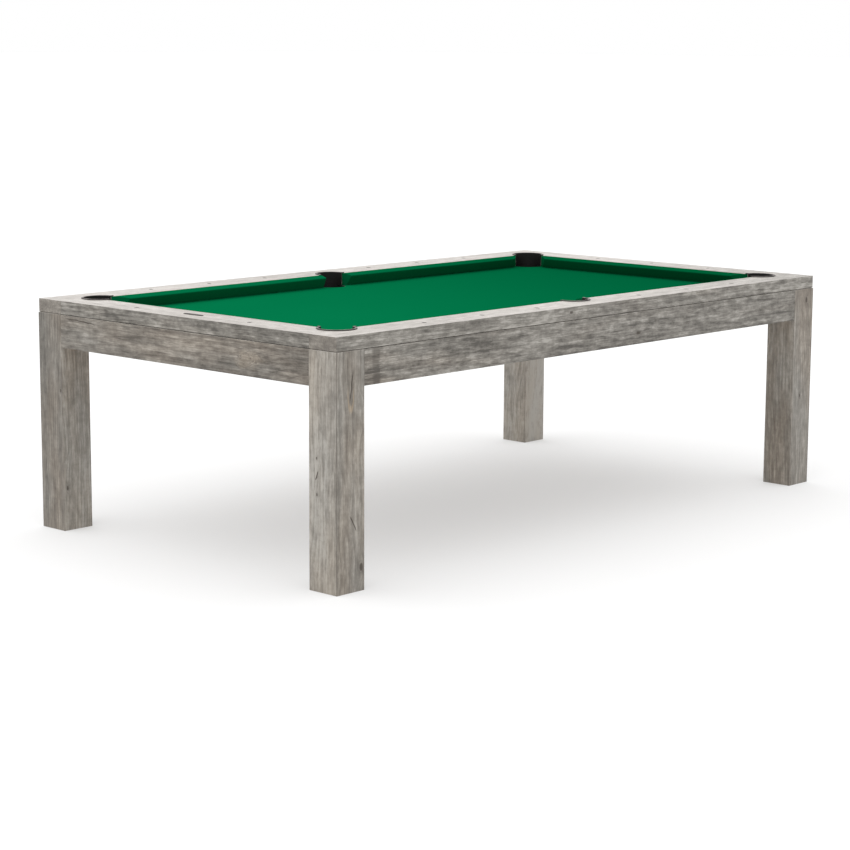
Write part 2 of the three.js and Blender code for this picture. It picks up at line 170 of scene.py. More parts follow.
class Finish:
    """One procedural material, built node by node around a Principled shader."""

    def __init__(self, name):
        self.material = bpy.data.materials.new(name)
        self.material.use_nodes = True
        self.tree = self.material.node_tree
        self.shader = self.tree.nodes["Principled BSDF"]

    def node(self, kind, inputs=None, out=0, stops=None, **settings):
        """Lays a node: its settings first, then the values or links of its sockets."""
        made = self.tree.nodes.new(kind)
        for name, value in settings.items():
            setattr(made, name, value)
        if stops:
            ramp = made.color_ramp
            while len(ramp.elements) < len(stops):
                ramp.elements.new(0.5)
            for element, (place, colour) in zip(ramp.elements, stops):
                element.position = place
                element.color = colour
        for name, value in (inputs or {}).items():
            self.feed(made.inputs[name], value)
        return Value(self, made.outputs[out])

    def feed(self, socket, value):
        if isinstance(value, Value):
            self.tree.links.new(value.socket, socket)
        elif hasattr(socket.default_value, "__len__") and len(socket.default_value) == 4:
            socket.default_value = (*value, 1.0)[:4]
        else:
            socket.default_value = value

    def place(self):
        """The three coordinates of the point, in metres."""
        spot = self.node("ShaderNodeTexCoord", out="Object")
        return [self.node("ShaderNodeSeparateXYZ", {0: spot}, out=axis) for axis in range(3)]

    def vector(self, x, y, z):
        return self.node("ShaderNodeCombineXYZ", {0: x, 1: y, 2: z})

    def noise(self, vector, scale=1.0, detail=2.0, roughness=0.5):
        inputs = {"Vector": vector, "Scale": scale, "Detail": detail, "Roughness": roughness}
        return self.node("ShaderNodeTexNoise", inputs)

    def cells(self, vector, scale=1.0):
        inputs = {"Vector": vector, "Scale": scale}
        return self.node("ShaderNodeTexVoronoi", inputs, out="Distance")

    def mix(self, share, low, high):
        """From the low colour to the high one."""
        return self.node("ShaderNodeMix", {0: share, 6: low, 7: high}, out=2, data_type="RGBA")

    def ramp(self, value, stops):
        return self.node("ShaderNodeValToRGB", {0: value}, stops=[(p, (*c, 1.0)) for p, c in stops])

    def bump(self, height, strength, distance):
        inputs = {"Height": height, "Strength": strength, "Distance": distance}
        self.wear({"Normal": self.node("ShaderNodeBump", inputs)})

    def wear(self, values):
        """Sets or links sockets of the shader itself."""
        for name, value in values.items():
            self.feed(self.shader.inputs[name], value)


def shade(red, green, blue):
    """A colour given in 8-bit display values, as the linear one a shader takes."""
    parts = [value / 255 for value in (red, green, blue)]
    return tuple(p / 12.92 if p <= 0.04045 else ((p + 0.055) / 1.055) ** 2.4 for p in parts)


# ------------------------------------------------------------ wood

RING = 0.010                # width of a growth ring
GROWN_OVER = 12 * MM        # a knot larger than this is pale and in swirls


def brushed_wood(
    name, grain, seed, heart, knots=(), cracks=(), stains=(), warmth=0.35, light=(0.0, 0.0),
    contrast=1.0, arris=None, painted_sheen_fade=None, eye=None, seat=None,
):
    """Grey-washed, wire-brushed board with its grain along one axis.

    heart is where the pith lies, in the two axes across the grain. A knot is (along, across 1,
    across 2, radius), a crack (along, across 1, across 2, half length, lean, which of the two
    axes lies in its face) and a stain, which crosses the board, (along, half width). light is
    painted light and shade: it lifts or darkens the faces across X and across Y. arris is where
    the outer arris of a post runs, which the wash has darkened, painted_sheen_fade is where along
    the board the painted sheen on its top thins out, so that the top turns from pale to brown, eye
    is a tan outline round a closed split: (along, across 1, half length, half width), and seat is
    a height above which a post is painted dark, as painted shade in the gap under the rail.
    """
    finish = Finish(name)
    x, y, z = finish.place()
    along, wide, deep = {"x": (x, y, z), "y": (y, x, z), "z": (z, x, y)}[grain]
    shifted = along + seed

    def stretched(length, width, detail=3.0, rough=0.55, offset=0.0):
        vector = finish.vector(
            (shifted + offset) * (1 / length), wide * (1 / width), deep * (1 / width)
        )
        return finish.noise(vector, detail=detail, roughness=rough)

    # Growth rings round the pith, which wanders and leans a little along the board.
    wander = stretched(0.55, 0.30, detail=2.0) - 0.5
    across = ((wide - heart[0] + shifted * 0.035) ** 2.0 + (deep - heart[1]) ** 2.0).root()
    radius = across + wander * 0.055

    knot_mask = None
    swirl_mask = None
    for spot, one, two, size in knots:
        reach = (
            ((along - spot) / (1.9 * size)) ** 2.0
            + ((wide - one) / size) ** 2.0
            + ((deep - two) / size) ** 2.0
        ).root()
        ripple = reach + (stretched(0.02, 0.012, offset=spot) - 0.5) * 0.5
        radius = radius + 0.030 / (1.0 + reach * reach)
        if size > GROWN_OVER:
            bent = reach + (stretched(0.040, 0.024, offset=spot + 5.0) - 0.5) * 3.2
            swirl_mask = bent.step(2.4, 0.8)
            broken = stretched(0.022, 0.018, offset=spot + 6.5).step(0.42, 0.60)
            mask = (bent * 1.5).fraction() ** 2.6 * bent.step(2.7, 1.3) * broken * 0.95
        else:
            core = ripple.step(1.25, 0.55)
            mask = core.most(ripple.step(3.2, 0.9) * 0.25)
        knot_mask = mask if knot_mask is None else knot_mask.most(mask)

    rings = (radius / RING).fraction()
    late = rings ** 2.6

    streak = stretched(0.24, 0.0085, detail=4.0)
    fine = stretched(0.045, 0.0020, detail=3.0, offset=3.1)
    blotch = stretched(0.050, 0.020, detail=5.0, rough=0.68, offset=7.3)
    patch = stretched(0.60, 0.15, detail=2.0, offset=1.7)
    chatter = stretched(0.012, 0.050, detail=2.0, offset=4.6)
    pore = stretched(0.030, 0.0022, detail=2.0, offset=5.9).step(0.60, 0.74)
    check = stretched(0.16, 0.0045, detail=3.0, rough=0.7, offset=9.4).step(0.69, 0.77)

    facing = finish.node("ShaderNodeTexCoord", out="Normal")
    sideways = abs(finish.node("ShaderNodeSeparateXYZ", {0: facing}, out="X")).step(0.6, 0.8)
    # light lifts or darkens the faces across X and across Y: painted light and shade for how light falls
    # on them.
    tone = (
        0.50 + light[1] + sideways * (light[0] - light[1])
        + (streak - 0.5) * (0.95 * contrast)
        + (blotch - 0.5) * (1.45 * contrast)
        + (fine - 0.5) * (0.75 * contrast)
        + (chatter - 0.5) * 0.20
        - (late - 0.28) * 0.18
        + (patch - 0.5) * (0.75 * contrast)
    )
    for spot, half in stains:
        edge = abs(along - spot + (blotch - 0.5) * (half * 1.2))
        tone = tone - edge.step(half, half * 0.3) * (0.30 + (blotch - 0.5) * 1.2)
    grey = finish.ramp(tone.cut(), [
        (0.02, shade(74, 70, 64)),
        (0.36, shade(108, 104, 97)),
        (0.62, shade(127, 123, 116)),
        (0.98, shade(162, 158, 151)),
    ])
    tan = finish.ramp(tone.cut(), [
        (0.02, shade(76, 66, 56)),
        (0.50, shade(118, 108, 96)),
        (0.98, shade(160, 151, 138)),
    ])
    warm = (stretched(0.45, 0.10, detail=2.0, offset=12.6) + warmth - 0.5).step(0.30, 0.75)
    colour = finish.mix(warm * 0.8, grey, tan)
    dark = (pore * 0.30).most(check * 0.50)
    height = tone * 0.4 + fine * 0.6 - pore * 0.7 - check * 1.1

    # Sawn ends are browner and show only the dots of the pores.
    end = abs(finish.node("ShaderNodeSeparateXYZ", {0: facing}, out="xyz".index(grain))).step(0.6, 0.8)
    speck = finish.noise(finish.vector(x * 260, y * 260, z * 170), detail=3.0, roughness=0.6)
    band = finish.noise(finish.vector(x * 26, y * 26, z * 60), detail=3.0, roughness=0.6)
    sawn = finish.ramp((0.5 + (speck - 0.5) * 0.8 + (band - 0.5) * 1.5).cut(), [
        (0.10, shade(82, 76, 69)), (0.50, shade(114, 108, 100)), (0.90, shade(146, 140, 131)),
    ])
    colour = finish.mix(end, colour, sawn)

    # Upward faces are painted paler: painted light and sheen from above.
    up = finish.node("ShaderNodeSeparateXYZ", {0: facing}, out="Z").step(0.6, 0.9)
    # Along the board, this painted sheen may thin out.
    if painted_sheen_fade:
        up = up * (1.0 - along.step(*painted_sheen_fade) * 0.65)
    paler_tone = finish.ramp(tone.cut(), [(0.0, shade(150, 144, 138)), (1.0, shade(194, 188, 182))])
    colour = finish.mix(up * 0.88, colour, paler_tone)

    if swirl_mask:
        colour = finish.mix(swirl_mask * 0.35, colour, shade(150, 137, 119))
    if eye:
        oval = (
            ((along - eye[0]) / eye[2]) ** 2.0 + ((wide - eye[1]) / eye[3]) ** 2.0
        ).root() + (streak - 0.5) * 1.1
        line = oval.step(0.60, 0.95) * oval.step(1.35, 1.05) * (1.0 - sideways)
        line = line * along.step(eye[0] + eye[2] * 0.6, eye[0] - eye[2] * 0.3)
        colour = finish.mix(line * 0.5, colour, shade(164, 145, 118))
    if knot_mask is not None:
        dark = dark.most(knot_mask * 0.85)
        height = height - knot_mask * 0.6
    for spot, one, two, half, lean, plane in cracks:
        run = (along - spot) / half
        wobble = (stretched(0.045, 0.2, detail=4.0, offset=spot + 2.0) - 0.5) * 0.014
        off, into = (wide - one, deep - two) if plane == 0 else (deep - two, wide - one)
        gap = (
            (off - (along - spot) * lean + wobble) ** 2.0 + (into * 0.25) ** 2.0
        ).root() + (blotch - 0.5) * 0.004
        line = gap.step(0.0034, 0.0008) * abs(run).step(1.0, 0.5)
        dark = dark.most(line * 0.9)
        height = height - line * 1.8

    # Painted shade: above the seat height a post is painted dark, where the gap under the rail lies in
    # shade.
    if seat:
        dark = dark.most(along.step(seat + 0.2 * MM, seat + 0.8 * MM))
    if arris:
        corner = abs(wide - arris[0]).most(abs(deep - arris[1]))
        dark = dark.most(corner.step(0.0042, 0.0012) * (0.30 + streak * 0.35))

    colour = finish.mix(dark, colour, shade(58, 49, 40))
    finish.wear({
        "Base Color": colour,
        "Roughness": 0.50 - tone.cut() * 0.12 + dark * 0.2,
        "Specular IOR Level": 0.5,
    })
    finish.bump(height, 0.55, 0.0009)
    return finish.material


def planed_timber(name, grain):
    """Softwood of the frame, with soft rings and a few small pin knots."""
    finish = Finish(name)
    x, y, z = finish.place()
    along, wide, deep = {"x": (x, y, z), "y": (y, x, z)}[grain]
    wander = finish.noise(finish.vector(along * 1.4, wide * 5, deep * 5), detail=2.0) - 0.5
    rings = (((wide * 0.6 + deep + wander * 0.05) / 0.008).fraction()) ** 2.0
    fibre = finish.noise(finish.vector(along * 9, wide * 420, deep * 420), detail=3.0)
    pin = finish.cells(finish.vector(along * 3.2, wide * 11, deep * 11)).step(0.13, 0.05)
    tone = (0.35 + rings * 0.35 + (fibre - 0.5) * 0.5).cut()
    body = finish.ramp(tone, [(0.0, shade(214, 183, 138)), (1.0, shade(176, 134, 86))])
    finish.wear({
        "Base Color": finish.mix(pin, body, shade(96, 58, 32)),
        "Roughness": 0.70 + fibre * 0.12,
    })
    finish.bump(fibre - rings * 0.3, 0.35, 0.0004)
    return finish.material


# ------------------------------------------------------------ cloth, rubber, slate, metal


def billiard_cloth(name, colour, paler_tone, shaded):
    """Tight woollen cloth: fine twill under a short nap, with painted shade darker towards +X."""
    finish = Finish(name)
    x, y, z = finish.place()
    nap = finish.noise(finish.vector(x * 900, y * 1400, z * 1400), detail=3.0, roughness=0.6)
    twill = ((x + y + z * 0.7) / 0.0011).fraction()
    weave = abs(twill - 0.5) * 2.0
    cloud = finish.noise(finish.vector(x * 1.6, y * 1.6, z * 1.6), detail=3.0)
    tone = (0.5 + (nap - 0.5) * 0.7 + (weave - 0.5) * 0.16 + (cloud - 0.5) * 0.8).cut()
    body = finish.mix(tone, shade(*colour), shade(*paler_tone))
    # Painted shade: the colour is mixed towards the shaded cloth colour towards +X.
    painted_shade_to_x = (x - y * 0.4 + (cloud - 0.5) * 0.3).step(-0.9, 1.5)
    finish.wear({
        "Base Color": finish.mix(painted_shade_to_x, body, shade(*shaded)),
        "Roughness": 0.92 + nap * 0.08,
        "Specular IOR Level": 0.0,
    })
    finish.bump(nap * 0.7 + weave * 0.3, 0.30, 0.0003)
    return finish.material


def moulded(name, low, high, roughness, grain=1600.0, bump=0.0002, gloss=0.5, crown=None):
    """Moulded rubber or plastic: a fine pebbled skin with rubbed, lighter places.

    crown is a height from which the skin is painted pale: a painted highlight along the rim's crown.
    """
    finish = Finish(name)
    spot = finish.node("ShaderNodeTexCoord", out="Object")
    pebble = finish.noise(spot, scale=grain, detail=2.0)
    rubbed = finish.noise(spot, scale=38.0, detail=3.0, roughness=0.65).step(0.42, 0.72)
    colour = finish.mix(rubbed, shade(*low), shade(*high))
    # Painted highlight: above the crown height the skin is mixed towards pale grey.
    if crown:
        paler_tone = finish.place()[2].step(crown, crown + 0.8 * MM) * (0.45 + rubbed * 0.4)
        colour = finish.mix(paler_tone, colour, shade(150, 140, 136))
    finish.wear({
        "Base Color": colour,
        "Roughness": roughness + pebble * 0.12 - rubbed * 0.08,
        "Specular IOR Level": gloss,
    })
    finish.bump(pebble, 0.4, bump)
    return finish.material


def honed_slate(name):
    """Sawn and honed slate, with cloudy bedding and pale mineral flecks."""
    finish = Finish(name)
    x, y, z = finish.place()
    cloud = finish.noise(finish.vector(x * 4, y * 2.2, z * 30), detail=5.0, roughness=0.6)
    grit = finish.noise(finish.vector(x * 700, y * 700, z * 700), detail=2.0)
    fleck = finish.cells(finish.vector(x * 60, y * 60, z * 60)).step(0.10, 0.04)
    saw = finish.noise(finish.vector(x * 3, y * 260, z * 260), detail=2.0)
    tone = (cloud + (grit - 0.5) * 0.25 + (saw - 0.5) * 0.3).cut()
    body = finish.ramp(tone, [(0.25, shade(62, 66, 70)), (0.75, shade(104, 109, 112))])
    finish.wear({
        "Base Color": finish.mix(fleck * 0.5, body, shade(160, 162, 160)),
        "Roughness": 0.62 + grit * 0.2,
    })
    finish.bump(grit * 0.5 + saw * 0.5, 0.35, 0.0003)
    return finish.material


def plated(name, low, high, roughness, metallic=1.0, brush=(60, 60, 900)):
    """Metal with fine machining lines and a cloudy film."""
    finish = Finish(name)
    x, y, z = finish.place()
    lines = finish.noise(
        finish.vector(x * brush[0], y * brush[1], z * brush[2]), detail=2.0, roughness=0.6
    )
    film = finish.noise(finish.vector(x * 55, y * 55, z * 55), detail=4.0, roughness=0.6)
    finish.wear({
        "Base Color": finish.mix(film.step(0.3, 0.7), shade(*low), shade(*high)),
        "Roughness": roughness + (lines - 0.5) * 0.18 + film * 0.1,
        "Metallic": metallic,
    })
    finish.bump(lines, 0.25, 0.0002)
    return finish.material


# ------------------------------------------------------------ mesh helpers

SHARP = math.radians(38)


def lay(name, bm, material, body="root", stands_for=(), smooth=True):
    """Makes a piece of a bmesh, and has it ride on a body in place of its CAD nodes."""
    mesh = bpy.data.meshes.new(name)
    bm.to_mesh(mesh)
    bm.free()
    mesh.materials.append(material)
    if smooth:
        mesh.shade_smooth()
        mesh.set_sharp_from_angle(angle=SHARP)
    piece = bpy.data.objects.new(name, mesh)
    bpy.context.scene.collection.objects.link(piece)
    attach(piece, body)
    if stands_for:
        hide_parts(*stands_for)
    return piece


def cad_copy(node):
    """A welded copy of a CAD node's mesh, with its flat faces whole."""
    bm = bmesh.new()
    bm.from_mesh(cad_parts[node].data)
    bmesh.ops.remove_doubles(bm, verts=bm.verts, dist=0.00001)
    bmesh.ops.dissolve_limit(
        bm, angle_limit=math.radians(1), verts=bm.verts[:], edges=bm.edges[:]
    )
    return bm


def round_edges(bm, width, segments=3, longer_than=0.0, chosen=None):
    """Rounds the outer edges that are longer than a given length."""
    edges = [
        edge for edge in bm.edges
        if len(edge.link_faces) == 2 and edge.is_convex
        and edge.calc_face_angle() > 1.0 and edge.calc_length() > longer_than
        and (chosen is None or chosen(edge))
    ]
    bmesh.ops.bevel(
        bm, geom=edges, offset=width, segments=segments, profile=0.5,
        affect="EDGES", material=-1, clamp_overlap=True,
    )


def board(node, material, width):
    """A CAD board with its long edges eased."""
    bm = cad_copy(node)
    round_edges(bm, width, longer_than=0.03)
    return lay(f"{node}_board", bm, material, stands_for=[node], smooth=False)


def face_of(bm, points):
    """One face through a few points."""
    return bm.faces.new([bm.verts.new(point) for point in points])


def spun(section, steps, start=0.0, sweep=2 * math.pi):
    """A section of (radius, height) turned about the Z axis, closed all round or capped."""
    bm = bmesh.new()
    face = face_of(bm, [(radius, 0, height) for radius, height in section])
    bmesh.ops.rotate(bm, verts=bm.verts, cent=(0, 0, 0), matrix=Matrix.Rotation(start, 3, "Z"))
    whole = abs(sweep - 2 * math.pi) < 1e-6
    bmesh.ops.spin(
        bm, geom=[face, *face.edges, *face.verts], cent=(0, 0, 0), axis=(0, 0, 1),
        angle=sweep, steps=steps, use_merge=whole, use_duplicate=False,
    )
    bmesh.ops.remove_doubles(bm, verts=bm.verts, dist=0.000005)
    if whole:
        inner = [f for f in bm.faces if not f.calc_center_median().to_2d().length > 0 or is_cap(f)]
        bmesh.ops.delete(bm, geom=inner, context="FACES_ONLY")
    bmesh.ops.recalc_face_normals(bm, faces=bm.faces)
    return bm


def is_cap(face):
    """True for a face that lies in a plane through the Z axis."""
    return abs(face.normal.z) < 1e-4 and abs(face.normal.to_2d().dot(
        face.calc_center_median().to_2d().normalized()
    )) < 1e-4 and len(face.verts) > 4


def joined(*parts):
    """Several bmeshes as one."""
    whole = bmesh.new()
    for part in parts:
        mesh = bpy.data.meshes.new("part")
        part.to_mesh(mesh)
        part.free()
        whole.from_mesh(mesh)
        bpy.data.meshes.remove(mesh)
    return whole


def moved(bm, matrix):
    bmesh.ops.transform(bm, matrix=matrix, verts=bm.verts)
    return bm


def draw_out(bm, flat, way):
    """Extrudes a flat shape into a solid, and turns its faces outwards."""
    grown = bmesh.ops.extrude_face_region(bm, geom=flat)
    far = [item for item in grown["geom"] if isinstance(item, bmesh.types.BMVert)]
    bmesh.ops.translate(bm, verts=far, vec=way)
    bmesh.ops.recalc_face_normals(bm, faces=bm.faces)


def round_block(size, width, segments):
    """A box about the origin with all its edges rounded."""
    bm = bmesh.new()
    bmesh.ops.create_cube(bm, size=1)
    bmesh.ops.scale(bm, verts=bm.verts, vec=size)
    bmesh.ops.bevel(
        bm, geom=bm.edges[:], offset=width, segments=segments, profile=0.5,
        affect="EDGES", material=-1,
    )
    return bm


def hexagon(radius, thick, middle, width, chosen):
    """A six-sided block on the Z axis. chosen tells from an edge's two heights if it is rounded."""
    bm = bmesh.new()
    bmesh.ops.create_cone(
        bm, cap_ends=True, segments=6, radius1=radius, radius2=radius, depth=thick,
    )
    bmesh.ops.bevel(
        bm, geom=[edge for edge in bm.edges if chosen(*(vert.co.z for vert in edge.verts))],
        offset=width, segments=2, profile=0.5, affect="EDGES", material=-1,
    )
    bmesh.ops.translate(bm, verts=bm.verts, vec=(0, 0, middle))
    return bm


# ------------------------------------------------------------ places taken from the frame

half_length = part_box("leg_front_right")[1].x
half_width = -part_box("leg_front_right")[0].y
leg_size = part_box("leg_front_left")[1].x + half_length
rail_bottom, rail_top = (corner.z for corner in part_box("rail_front"))
slate_bottom, slate_top = (corner.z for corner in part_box("slate_middle"))

CORNERS = {
    "front_left": (-1, -1, 0.0),
    "front_right": (1, -1, 90.0),
    "back_right": (1, 1, 180.0),
    "back_left": (-1, 1, -90.0),
}
# A side's own frame has X along the side and Y running inward from its outer face.
SIDES = {
    "front": Matrix.Translation((0, -half_width, 0)),
    "back": Matrix.Translation((0, half_width, 0)) @ Matrix.Rotation(math.pi, 4, "Z"),
    "left": Matrix.Translation((-half_length, 0, 0)) @ Matrix.Rotation(-math.pi / 2, 4, "Z"),
    "right": Matrix.Translation((half_length, 0, 0)) @ Matrix.Rotation(math.pi / 2, 4, "Z"),
}
# The axis along which a side's boards run.
GRAIN = {"front": "x", "back": "x", "left": "y", "right": "y"}


def side_box(node, side):
    """A node's box in its side's own frame."""
    back = SIDES[side].inverted()
    ends = [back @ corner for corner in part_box(node)]
    low = Vector([min(a, b) for a, b in zip(*ends)])
    high = Vector([max(a, b) for a, b in zip(*ends)])
    return low, high


# ------------------------------------------------------------ wooden case

rail_mid = (rail_top + rail_bottom) / 2
apron_low, apron_high = (corner.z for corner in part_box("apron_front"))
apron_mid = (apron_low + apron_high) / 2
LEG_EASE = 1.1 * MM         # widths of the rounding along the edges
APRON_EASE = 1.2 * MM
RAIL_EASE = 0.8 * MM
TIMBER_EASE = 2.0 * MM
SLATE_EASE = 0.8 * MM
SEAT_INSET = 4 * MM


def post(node, material):
    """A leg with eased arrises and a low seat on its top, set in, that fills the gap to the rail."""
    bm = cad_copy(node)
    round_edges(bm, LEG_EASE, longer_than=0.03)
    least = apron_high - 1 * MM
    top = [f for f in bm.faces if f.normal.z > 0.99 and f.calc_center_median().z > least]
    rise = rail_bottom - apron_high - 0.1 * MM
    bmesh.ops.inset_region(bm, faces=top, thickness=SEAT_INSET)
    bmesh.ops.inset_region(bm, faces=top, thickness=0.2 * MM, depth=rise)
    lay(f"{node}_board", bm, material, stands_for=[node], smooth=False)


def make_case():
    face_x, face_y = -half_length, -half_width
    inner_y = half_width - leg_size
    leg_knots = {                       # knots, then cracks
        "front_left": (
            [(0.31, face_x, face_y + 0.087, 0.0035), (0.425, face_x, face_y + 0.088, 0.003),
             (0.077, face_x + 0.108, face_y, 0.008)],
            [(0.652, face_x + 0.066, face_y, 0.056, 0.15, 0),
             (0.220, face_x + 0.074, face_y, 0.030, -0.55, 0),
             (0.370, face_x, face_y + 0.088, 0.018, -0.4, 1)],
        ),
        "front_right": (
            [(0.72, half_length - 0.045, face_y, 0.007), (0.35, half_length - 0.070, face_y, 0.004)], [],
        ),
        "back_left": (
            [(0.497, face_x, inner_y + 0.007, 0.004), (0.151, face_x + 0.016, inner_y, 0.005)], [],
        ),
        "back_right": ([(0.60, half_length, half_width - 0.06, 0.006)], []),
    }
    eyes = {"front_left": (0.632, face_x + 0.062, 0.050, 0.012)}
    # Painted light and shade on each leg's faces across X and across Y.
    leg_painted_light = {
        "front_left": (0.24, 0.13), "front_right": (0.11, 0.04), "back_right": (0.32, 0.48),
        "back_left": (-0.14, 0.20),
    }
    for number, (corner, (sx, sy, _)) in enumerate(CORNERS.items()):
        heart = (sx * (half_length - 0.19), sy * (half_width - 0.21))
        knots, cracks = leg_knots[corner]
        wood = brushed_wood(
            f"leg_wood_{corner}", "z", 2.3 * number + 0.7, heart, knots, cracks, warmth=0.52,
            light=leg_painted_light[corner], contrast=0.78, arris=(sx * half_length, sy * half_width),
            eye=eyes.get(corner), seat=apron_high,
        )
        post(f"leg_{corner}", wood)

    stains = {"front": [(-half_length + leg_size + 0.052, 0.024)], "back": []}
    long_knots = {
        "front": [(0.20, face_y, apron_mid - 0.018, 0.006)],
        "back": [(-0.50, half_width, apron_mid + 0.02, 0.007), (0.62, half_width, apron_mid, 0.005)],
    }
    # The light values of the aprons and rails are painted light and shade on their faces.
    for number, (side, sign) in enumerate((("front", -1), ("back", 1))):
        heart = (sign * (half_width + 0.07), apron_mid - 0.09)
        wood = brushed_wood(
            f"apron_wood_{side}", "x", 4.1 + 3.7 * number, heart, long_knots[side],
            stains=stains[side], warmth=0.30, light=(0.0, -0.04), contrast=1.35,
        )
        board(f"apron_{side}", wood, APRON_EASE)
    end_knots = {
        "left": [(-0.338, face_x, apron_mid - 0.006, 0.017)],
        "right": [(0.28, half_length, apron_mid + 0.01, 0.007)],
    }
    end_cracks = {"left": [(0.50, face_x, apron_high - 0.015, 0.10, 0.05, 1)], "right": []}
    for number, (side, sign) in enumerate((("left", -1), ("right", 1))):
        heart = (sign * (half_length + 0.06), apron_mid - 0.07)
        wood = brushed_wood(
            f"apron_wood_{side}", "y", 1.9 + 2.9 * number, heart,
            end_knots[side], end_cracks[side], warmth=0.55, light=(-0.08, 0.0), contrast=1.1,
        )
        board(f"apron_{side}", wood, APRON_EASE)

    # Where along the front and right rails the painted sheen on the top thins out.
    painted_sheen_fades = {"front": (0.62, 1.30), "right": (0.10, -0.72)}
    rail_knots = {
        "front": [(-0.17, face_y, rail_mid + 0.004, 0.006)],
        "back": [(0.40, half_width, rail_mid, 0.005)],
        "left": [],
        "right": [(-0.30, half_length, rail_mid, 0.005)],
    }
    for number, (side, grain) in enumerate(GRAIN.items()):
        reach = half_width if grain == "x" else half_length
        sign = -1 if side in ("front", "left") else 1
        heart = (sign * (reach - 0.16), rail_bottom - 0.11)
        wood = brushed_wood(
            f"rail_wood_{side}", grain, 6.2 + 1.3 * number, heart, rail_knots[side], warmth=0.30,
            light=(-0.02, 0.09), contrast=1.35, painted_sheen_fade=painted_sheen_fades.get(side),
        )
        board(f"rail_{side}", wood, RAIL_EASE)


# ------------------------------------------------------------ frame and bed


def make_frame():
    lengthwise = planed_timber("frame_timber_long", "x")
    crosswise = planed_timber("frame_timber_cross", "y")
    for node in ("ring_beam_front", "ring_beam_back", "centre_beam"):
        board(node, lengthwise, TIMBER_EASE)
    cross = [f"cross_beam_{place}_{side}" for place in ("outer", "joint") for side in ("left", "right")]
    for node in ("ring_beam_left", "ring_beam_right", *cross):
        board(node, crosswise, TIMBER_EASE)


def make_bed():
    slate = honed_slate("honed_slate")
    for name in ("left", "middle", "right"):
        bm = cad_copy(f"slate_{name}")
        round_edges(bm, SLATE_EASE, segments=2, longer_than=0.03)
        lay(f"slate_{name}_slab", bm, slate, stands_for=[f"slate_{name}"], smooth=False)

    bm = cad_copy("bed_cloth")
    area = sum(face.calc_area() for face in bm.faces if face.normal.z > 0.9)
    cloth = lay(
        "bed_cloth_sheet", bm, billiard_cloth("bed_cloth", (1, 96, 58), (3, 104, 64), (0, 80, 47)),
        stands_for=["bed_cloth"], smooth=False,
    )


# ------------------------------------------------------------ cushions

CORNER_JAW = 142            # degrees, as the CAD cushions are cut
SIDE_JAW = 104
NOSE_LEVEL = 35.7 * MM      # above the foot
NOSE_RADIUS = 3.0 * MM
FOOT_WIDTH = 20 * MM


def cushion_section(wood, nose, foot, top):
    """Outline of (distance in, height): falling top, round nose, undercut face, foot, back."""
    outline = [
        (wood, top - 1.2 * MM), (wood + 0.5 * MM, top - 0.4 * MM), (wood + 2 * MM, top - 0.1 * MM),
        (wood + 8 * MM, top - 0.3 * MM), (wood + 18 * MM, top - 1.7 * MM),
    ]
    centre_in, centre_up = nose - NOSE_RADIUS, foot + NOSE_LEVEL + 0.3 * MM
    for degrees in range(76, -50, -18):
        angle = math.radians(degrees)
        outline.append((
            centre_in + NOSE_RADIUS * math.cos(angle), centre_up + NOSE_RADIUS * math.sin(angle),
        ))
    toe = wood + FOOT_WIDTH
    return [*outline, (toe + 2 * MM, foot + 3 * MM), (toe, foot), (wood, foot)]


def cut_jaw(bm, at_wood, wood, angle, side):
    """Cuts a cushion along its jaw and closes the cut."""
    slope = 1 / math.tan(math.radians(180 - angle))
    normal = Vector((-side, slope, 0)).normalized()
    result = bmesh.ops.bisect_plane(
        bm, geom=[*bm.verts, *bm.edges, *bm.faces], dist=1e-6,
        plane_co=(at_wood, wood, 0), plane_no=normal, clear_outer=True,
    )
    rim = [item for item in result["geom_cut"] if isinstance(item, bmesh.types.BMEdge)]
    bmesh.ops.contextual_create(bm, geom=rim)


def in_jaw(edge):
    """True for an edge of a jaw's cut face."""
    return any(abs(f.normal.x) > 0.3 and abs(f.normal.z) < 0.01 for f in edge.link_faces)


def cushion(node, side, jaws, cloth):
    low, high = side_box(node, side)
    wood, nose, foot, top = low.y, high.y, low.z, high.z
    bm = bmesh.new()
    face = face_of(bm, [(low.x, y, z) for y, z in cushion_section(wood, nose, foot, top)])
    draw_out(bm, [face], (high.x - low.x, 0, 0))
    cut_jaw(bm, low.x, wood, jaws[0], 1)
    cut_jaw(bm, high.x, wood, jaws[1], -1)
    bmesh.ops.recalc_face_normals(bm, faces=bm.faces)
    round_edges(bm, 0.9 * MM, segments=2, longer_than=0.002, chosen=in_jaw)
    moved(bm, SIDES[side])
    piece = lay(f"{node}_rubber", bm, cloth, stands_for=[node])


def make_cushions():
    cloth = billiard_cloth("cushion_cloth", (1, 90, 54), (2, 97, 60), (0, 77, 44))
    cushion("cushion_front_left", "front", (CORNER_JAW, SIDE_JAW), cloth)
    cushion("cushion_front_right", "front", (SIDE_JAW, CORNER_JAW), cloth)
    cushion("cushion_back_right", "back", (CORNER_JAW, SIDE_JAW), cloth)
    cushion("cushion_back_left", "back", (SIDE_JAW, CORNER_JAW), cloth)
    cushion("cushion_left", "left", (CORNER_JAW, CORNER_JAW), cloth)
    cushion("cushion_right", "right", (CORNER_JAW, CORNER_JAW), cloth)


# ------------------------------------------------------------ pockets

CORNER_HOLE = 57 * MM
SIDE_HOLE = 52 * MM
LINER_WALL = 3.7 * MM
RIM_OVER = 4.7 * MM         # how far the rim lies over the wood
RIM_BAND = 1.2 * MM         # upright edge under the rim's roll
RIM_EASE = 1.4 * MM
EAR_SIZE = (11 * MM, 4.2 * MM)
RIBS = 8


